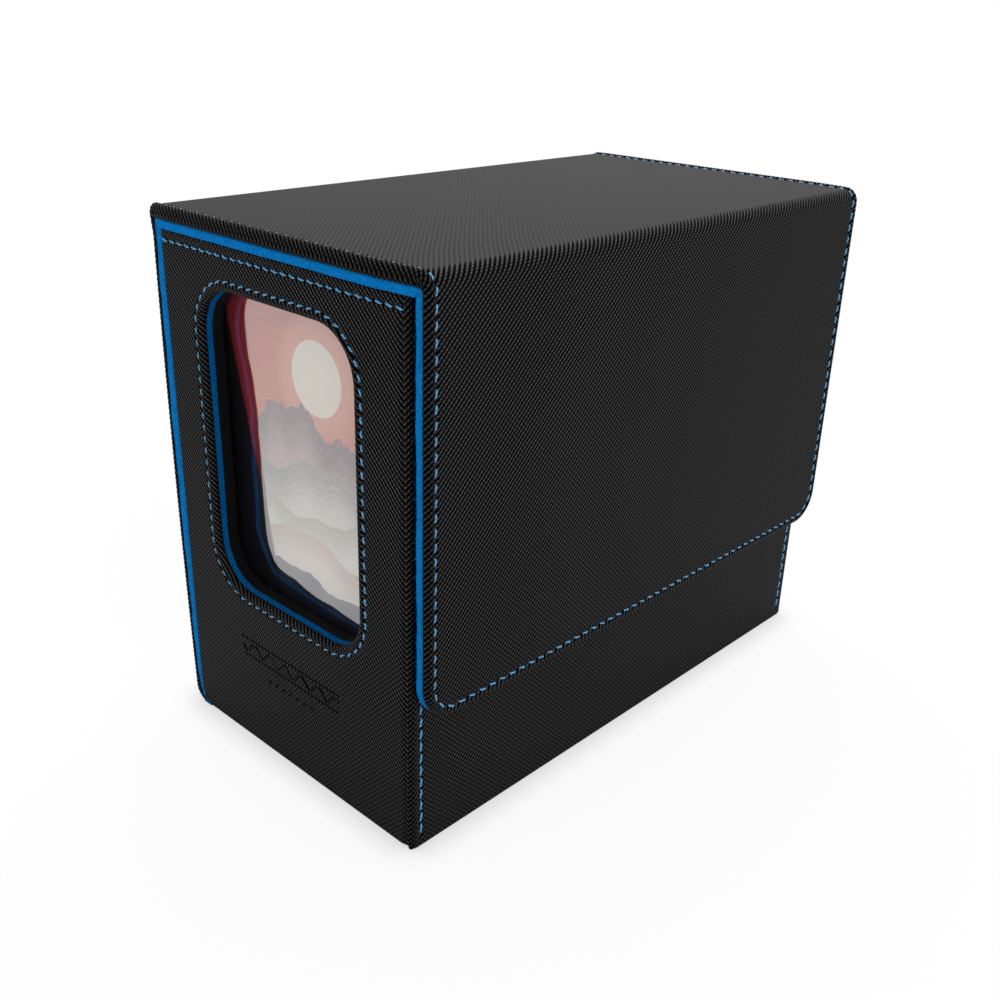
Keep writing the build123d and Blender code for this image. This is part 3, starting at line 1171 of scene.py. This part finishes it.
def microfibre(name, ribs, dark, light):
    """Blue microfibre with a short nap, and slanting ribs where its cut edge shows them."""
    g = new_material(name)
    _, u, v = g.places()
    place = g.object_place()
    fibres = g.over(g.noise(place, 3400.0, 5.0) - 0.5, 0.24)
    patches = g.noise(place, 500.0, 3.0)
    slant = ((u + v) * (2 * math.pi / RIB)).sine()
    shade = fibres * 0.75 + patches * 0.4 + slant * ribs
    rough = g.bump(shade, 0.00025, 0.8)
    g.principled(Base_Color=g.mix(shade, dark, light), Roughness=0.95, Normal=rough, Specular_IOR_Level=0.03)
    return g.owner


def thread_material():
    """Blue sewing thread with the lines of its twist in dark and light bands: partly the twist's grooves,
    partly painted highlight.
    """
    g = new_material("thread")
    _, u, v = g.places()
    share = 0.5 + (u * 7.0 + v * 2.0).sine() * 0.5
    # Painted highlight: the light bands of the twist.
    colour = g.mix(share, (0.004, 0.11, 0.33), (0.12, 0.57, 0.96))
    g.principled(Base_Color=colour, Roughness=0.34, Normal=g.bump(share, 0.00006), Specular_IOR_Level=0.8)
    return g.owner


def greyboard():
    """Grey pulp board."""
    g = new_material("greyboard")
    fleck = g.noise(g.object_place(), 900.0, 4.0)
    g.principled(Base_Color=g.mix(fleck, (0.20, 0.19, 0.17), (0.34, 0.32, 0.29)), Roughness=0.95)
    return g.owner


def magnet_steel():
    """Plated magnet."""
    g = new_material("magnet")
    scuff = g.noise(g.object_place(), 700.0, 3.0)
    g.principled(Base_Color=(0.6, 0.6, 0.62), Metallic=1.0, Roughness=0.2 + scuff * 0.2)
    return g.owner


def clear_sheet():
    """The glossy pane, which mirrors the bright room."""
    g = new_material("clear_sheet")
    place, u, v = g.places()
    lower = g.over(WINDOW_Z + 14.0 - v, 11.0)
    swell = abs(u - WINDOW_Y) ** 2.0 * lower * -0.0042 + g.noise(place, 0.07, 1.0) * 0.35
    mirror = g.gloss(0.035, g.bump(swell, MM))
    through = g.node("ShaderNodeBsdfTransparent", 0, {})
    g.layered(0.21 + g.facing(2.0) * 0.5, through, mirror)
    return g.owner


# Ranges of hills on the card, from far to near: height of the ridge, its waves as (height, turn, start),
# its roughness, the colours of its crest and foot, and how far down the one fades into the other
HILLS = [
    (80.0, [(2.6, 0.21, 0.4), (1.2, 0.57, 1.0)], 5.0, (0.16, 0.09, 0.12), (0.62, 0.46, 0.44), 15.0),
    (69.5, [(2.2, 0.16, 2.2), (0.8, 0.45, 0.0)], 1.6, (0.34, 0.33, 0.32), (0.80, 0.79, 0.72), 12.0),
    (61.0, [(2.4, 0.13, 4.4), (0.7, 0.38, 2.0)], 1.6, (0.56, 0.53, 0.44), (0.90, 0.88, 0.80), 9.0),
    (53.5, [(2.0, 0.17, 1.1), (0.6, 0.41, 3.0)], 1.6, (0.70, 0.55, 0.47), (0.94, 0.87, 0.80), 8.0),
    (45.0, [(1.2, 0.19, 0.2), (0.5, 0.5, 1.0)], 1.6, (0.05, 0.055, 0.09), (0.012, 0.014, 0.03), 7.0),
]
DISC_Y = -3.0
DISC_Z = 89.5
DISC_RADIUS = 7.6
GLOW_RADIUS = 11.5


def hill_range(g, behind, u, v, level, waves, rough, crest, foot, span):
    """One range of hills across the card, with contour lines below its ridge."""
    ridge = level + rough
    for size, turn, start in waves:
        ridge += (u * turn + start).sine() * size
    below = ridge - v
    contour = abs(((below + rough) * 1.9).sine())
    shade = g.over(below - span / 2, span / 2) + g.over(0.16 - contour, 0.1) * 0.4
    return g.mix(g.over(below, 0.14), behind, g.mix(shade, crest, foot))


def printed_card():
    """A printed card: hills under a warm sky with a pale disc, in reds, creams and dark blue."""
    g = new_material("printed_card")
    place, u, v = g.places()
    brush = g.noise(g.stretched(place, 0.09, 0.7), 1.0, 4.0)
    jags = g.noise(place, 0.35, 4.0) - 0.5
    art = g.mix(g.over(v - 88.0, 20.0), (0.78, 0.22, 0.11), (0.60, 0.05, 0.03))
    art = g.mix(g.over(brush - 0.56, 0.2), art, (0.72, 0.12, 0.07))
    off = (abs(u - DISC_Y) ** 2.0 + abs(v - DISC_Z) ** 2.0) ** 0.5
    art = g.mix(g.over(GLOW_RADIUS - off, 3.0), art, (0.80, 0.30, 0.19))
    art = g.mix(g.over(DISC_RADIUS - off, 0.15), art, (0.93, 0.86, 0.74))
    for level, waves, rough, crest, foot, span in HILLS:
        art = hill_range(g, art, u, v, level, waves, jags * rough, crest, foot, span)
    # A dark band down the card's edge towards the back of the box: near black low down and dark red higher
    # up, with a near-black part that widens towards its foot.
    back_band = u - (16.0 + (v - 62.0) * 0.09) + jags * 0.56
    back_band_colour = g.mix(g.over(v - 64.0, 9.0), (0.012, 0.010, 0.022), (0.36, 0.03, 0.035))
    art = g.mix(g.over(back_band, 0.25), art, back_band_colour)
    back_band_foot = back_band - (v - 52.0) * 0.15
    art = g.mix(g.over(back_band_foot, 0.6), art, (0.008, 0.007, 0.012))
    g.principled(Base_Color=art, Roughness=0.4, Specular_IOR_Level=0.2)
    return g.owner


LEATHERETTE = leatherette()
BLACK_BOARD_PAINTED_SHADE = black_board_painted_shade()
MICROFIBRE = microfibre("microfibre", 0.0, (0.0, 0.10, 0.36), (0.005, 0.33, 0.90))
# A darker copy of the microfibre, with ribs: painted shade in the window's ring and in the tuck under the
# foot.
RIBBED_PAINTED_SHADE = microfibre("ribbed_microfibre_painted_shade", 0.3, (0.0, 0.03, 0.12), (0.002, 0.17, 0.50))
# A lighter copy of the microfibre: painted light on the thin loose fibres.
LOOSE_PAINTED_LIGHT = microfibre("loose_microfibre_painted_light", 0.0, (0.01, 0.20, 0.60), (0.08, 0.46, 0.95))
THREAD_BLUE = thread_material()
GREYBOARD = greyboard()
MAGNET = magnet_steel()
CLEAR = clear_sheet()
CARD = printed_card()


# Putting the pieces in place

# A fold turns between two points either side of its inner corner, in metres
CORNER_Y = 0.03715
CORNER_Z = 0.1135
SKIN_TURN = 0.0048
LINING_TURN = 0.0009


def rear_bend(turn):
    """From the lid to the box."""
    return "lid", "box", (0, CORNER_Y - turn, CORNER_Z), (0, CORNER_Y, CORNER_Z - turn)


def front_bend(turn):
    """From the flap to the lid."""
    return "flap", "lid", (0, -CORNER_Y, CORNER_Z - turn), (0, turn - CORNER_Y, CORNER_Z)


def put(made, body, slot, *nodes):
    """Lets a piece stand for its CAD nodes, if any, and ride on a body; a piece of a fold stays where it is
    drawn.
    """
    if nodes:
        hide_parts(*nodes)
    if isinstance(body, tuple):
        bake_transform(made)
    else:
        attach(made, body)


put(flap_skin("flap_cover", LEATHERETTE), "flap", "leatherette", "flap_skin")
put(flap_lining("flap_inside", MICROFIBRE), "flap", "microfibre", "flap_lining")
for piece, node, start, stop, body in [
    ("lid", "lid", LID_CUT, REAR_CUT, "lid"),
    ("back", "back", BACK_CUT, FOOT_END, "box"),
    ("front_bend", "front_fold", FLAP_CUT, LID_CUT, front_bend),
    ("rear_bend", "rear_fold", REAR_CUT, BACK_CUT, rear_bend),
]:
    fold = callable(body)
    made = cover_skin(f"{piece}_cover", start, stop, LEATHERETTE)
    put(made, body(SKIN_TURN) if fold else body, "leatherette", f"{node}_skin")
    made = cover_lining(f"{piece}_inside", start, stop, MICROFIBRE, BEND_STEP if fold else STEP)
    put(made, body(LINING_TURN) if fold else body, "microfibre", f"{node}_lining")
put(end_wall("window_end", window_place, LEATHERETTE, True), "box", "leatherette", "window_end_skin")
put(end_wall("plain_end", far_place, LEATHERETTE, False), "box", "leatherette", "plain_end_skin")
put(front_wall("front_wall", LEATHERETTE), "box", "leatherette", "front_skin")

# The fibres wear the lighter copy of the microfibre, painted light on them.
for name, start, stop, body, seed in [
    ("flap", FLAP_CORNER + 1.0, FLAP_CUT, "flap", 3),
    ("lid", LID_CUT, REAR_CUT, "lid", 5),
    ("back", BACK_CUT, FOOT_START - 1.0, "box", 7),
]:
    put(nap(f"{name}_nap", start, stop, LOOSE_PAINTED_LIGHT, seed), body, "microfibre")

# The two layers behind the window. Each has its start behind the hem, its rounding, how far it reaches
# into the opening, and what it is made of
HEM_BACK = END_LOW.x - END_OUT + HEM_DEPTH
# Both layers show painted shade inside the window: the ring's cloth is a darker copy of the microfibre, and
# the rim is a dull black board.
for name, node, behind, rounding, over, material, slot in [
    ("window_end_inside", "window_end_lining", -0.05, 0.25, 0.05, RIBBED_PAINTED_SHADE, "microfibre"),
    ("pocket_rim", "pocket_frame", 0.95, 0.15, 0.12, BLACK_BOARD_PAINTED_SHADE, "leatherette"),
]:
    low, high = corners(node)
    low.x = HEM_BACK + behind
    put(window_frame(name, low, high, rounding, material, over), "box", slot, node)

for node, rounding in [
    ("base_lining", 0.3),
    ("front_lining", 0.6),
    ("plain_end_lining", 0.6),
    ("pocket_foot", 0.2),
    ("pocket_back", 0.35),
]:
    put(soft_block(node + "_cloth", *corners(node), rounding, MICROFIBRE), "box", "microfibre", node)
put(soft_block("base_cover", *corners("base_skin"), 0.3, LEATHERETTE), "box", "leatherette", "base_skin")
put(pane("pane", CLEAR), "box", "clear_sheet", "window_pane")
put(soft_block("card", CARD_LOW, CARD_HIGH, 0.08, CARD), "box", "printed_card", "display_card")

# The welts leave the card's width free between them
CARD_CLEARANCE = 0.6
welt = (WELT_HIGH.y - WELT_LOW.y - CARD_HIGH.y + CARD_LOW.y) / 2 - CARD_CLEARANCE
for side, low_y in (("near", WELT_LOW.y), ("far", WELT_HIGH.y - welt)):
    low = Vector((WELT_LOW.x, low_y, WELT_LOW.z))
    high = Vector((WELT_HIGH.x, low_y + welt, WELT_HIGH.z))
    put(soft_block(f"pocket_welt_{side}", low, high, 0.2, MICROFIBRE), "box", "microfibre", "pocket_welts")

# At each side: the cover's end tucked under the foot, and a post that closes the front corner.
# Each has its distances in from the edge, its reach in y and z, its rounding, and what it is made of
TUCK = (FOOT_Y - 2.6, FOOT_Y + 0.5)
POST = (FRONT_LOW.y + 1.2, FRONT_LOW.y + 3.0)
# The tuck's cloth is the darker copy of the microfibre, painted shade under the foot.
for name, outer, inner, (low_y, high_y), low_z, high_z, rounding, material, slot in [
    ("foot_cloth", 0.0, 1.4, TUCK, 0.45, 0.95, 0.22, RIBBED_PAINTED_SHADE, "microfibre"),
    ("foot_cover", 0.0, 1.4, TUCK, 0.0, 0.55, 0.22, LEATHERETTE, "leatherette"),
    ("corner_post", 1.4, 4.0, POST, 0.3, FRONT_HIGH.z - 1.5, 0.5, LEATHERETTE, "leatherette"),
]:
    for hand, side in (("near", -1), ("far", 1)):
        low_x, high_x = sorted((side * (EDGE_X - outer), side * (EDGE_X - inner)))
        low = Vector((low_x, low_y, low_z))
        high = Vector((high_x, high_y, high_z))
        put(soft_block(f"{name}_{hand}", low, high, rounding, material), "box", slot)

# The front board stops short of the turned corners, and the other boards and the magnets show as they are
BOARD_SHORT = Vector((3.0, 0, 0))
low, high = corners("front_board")
made = soft_block("front_stiffener", low + BOARD_SHORT, high - BOARD_SHORT, 0.1, GREYBOARD)
put(made, "box", "greyboard", "front_board")
for node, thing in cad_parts.items():
    for ending, material in (("_board", GREYBOARD), ("_magnets", MAGNET)):
        if node.endswith(ending):
            thing.data.materials.clear()
            thing.data.materials.append(material)

# Rows of stitches
whole = COVER_RAIL.length
for name, first, last, body in [
    ("back", 1.5, BACK_FROM, "box"),
    ("rear_bend", BACK_FROM, REAR_FROM, rear_bend(SKIN_TURN)),
    ("lid", REAR_FROM, LID_FROM, "lid"),
    ("front_bend", LID_FROM, FLAP_FROM, front_bend(SKIN_TURN)),
]:
    spots = stitches(COVER_RAIL.at, whole, COVER_PITCH, COVER_SHARE, first, last)
    spots += stitches(COVER_RAIL.at, whole, COVER_PITCH, COVER_SHARE, whole - last, whole - first)
    put(stitch_row(f"{name}_stitches", spots, cover_point, THREAD_BLUE), body, "microfibre")
spots = stitches(COVER_RAIL.at, whole, COVER_PITCH, COVER_SHARE, FLAP_FROM, whole - FLAP_FROM)
put(stitch_row("flap_stitches", spots, cover_point, THREAD_BLUE), "flap", "microfibre")
path = straight((END_FRONT_Y, END_ROW_Z), (1, 0), (0, 1))
row = stitches(path, END_BACK_Y - END_FRONT_Y, END_PITCH, END_SHARE)
ring = stitches(WINDOW_RAIL.at, WINDOW_RAIL.length, WINDOW_PITCH, END_SHARE)
tall = FRONT_HIGH.z - FRONT_LOW.z
columns = []
for side in (-1, 1):
    path = straight((side * (EDGE_X - FRONT_ROW), FRONT_LOW.z), (0, 1), (1, 0))
    columns += stitches(path, tall, FRONT_PITCH, FRONT_SHARE, FRONT_PITCH, tall - FRONT_PITCH)
for name, spots, place in [
    ("window_end", row + ring, window_place),
    ("plain_end", row, far_place),
    ("front", columns, front_place),
]:
    put(stitch_row(f"{name}_stitches", spots, place, THREAD_BLUE), "box", "microfibre")


# The room: a white floor, soft light and a bright sky

FLOOR_SIZE = 200
# The floor lies off centre, so that the diagonal of its one face stays out of the picture
FLOOR_PLACE = (30, 0, 0)
SHADOW_REACH = 0.007

# Where the photograph was taken from: metres, and degrees of yaw, pitch and roll
CAMERA_PLACE = (-0.18984, -0.16959, 0.15723)
CAMERA_TURN = (46.95, 24.0, 1.718)
CAMERA_LENS = 40.83


def lay_floor():
    """A white floor that keeps the object's shadow, with a painted contact shadow in the white that it
    shows.
    """
    bpy.ops.mesh.primitive_plane_add(size=FLOOR_SIZE, location=FLOOR_PLACE)
    floor = bpy.context.object
    floor.name = "floor"
    g = new_material("floor")
    fine = g.noise(g.object_place(), 60.0, 2.0)
    colour = g.mix(fine, (0.68, 0.68, 0.68), (0.72, 0.72, 0.72))
    colour = g.mix(g.plainly_seen(), colour, (0.95, 0.95, 0.95))
    body = g.principled(Base_Color=colour, Roughness=0.9, Specular_IOR_Level=0.0)
    # Painted shadow: ambient occlusion darkens the glowing white near the object.
    near = g.node("ShaderNodeAmbientOcclusion", "AO", {"Distance": SHADOW_REACH}, samples=8)
    white = g.node("ShaderNodeEmission", 0, {"Color": g.mix(near, (0.55, 0.55, 0.55), (1, 1, 1))})
    direct = g.math("MAXIMUM", g.ray("Camera"), g.ray("Transmission"))
    g.layered(g.math("MAXIMUM", direct * 0.9, g.ray("Glossy") * 0.3), body, white)
    floor.data.materials.append(g.owner)


def hang_lights():
    """Two wide suns and a plain sky."""
    for name, energy, spread, source in [
        ("sun", 1.7, 60, (0.40, 0.32, 0.86)),
        ("front_fill", 0.8, 50, (-0.08, -0.85, 0.50)),
    ]:
        light = bpy.data.lights.new(name, "SUN")
        light.energy = energy
        light.angle = math.radians(spread)
        lamp = bpy.data.objects.new(name, light)
        lamp.rotation_euler = Vector(source).to_track_quat("Z", "Y").to_euler()
        bpy.context.collection.objects.link(lamp)
    world = bpy.data.worlds.new("room")
    bpy.context.scene.world = world
    g = Graph(world, "ShaderNodeOutputWorld")
    inputs = {"Strength": 0.55 + g.plainly_seen() * 0.45, "Color": (1, 1, 1)}
    g.feed(g.out.inputs[0], g.node("ShaderNodeBackground", 0, inputs))


def set_camera():
    """The camera, level but for a small roll."""
    yaw, pitch, roll = [math.radians(turn) for turn in CAMERA_TURN]
    ahead = Vector((math.cos(pitch) * math.sin(yaw), math.cos(pitch) * math.cos(yaw), -math.sin(pitch)))
    level = ahead.cross(Vector((0, 0, 1))).normalized()
    over = level.cross(ahead)
    right = level * math.cos(roll) + over * math.sin(roll)
    up = over * math.cos(roll) - level * math.sin(roll)
    camera = bpy.data.cameras.new("camera")
    camera.lens = CAMERA_LENS
    camera.sensor_width = 36
    eye = bpy.data.objects.new("camera", camera)
    eye.matrix_world = Matrix.Translation(CAMERA_PLACE) @ Matrix((right, up, -ahead)).transposed().to_4x4()
    bpy.context.collection.objects.link(eye)
    bpy.context.scene.camera = eye


lay_floor()
hang_lights()
set_camera()
bpy.context.scene.view_settings.view_transform = "Standard"
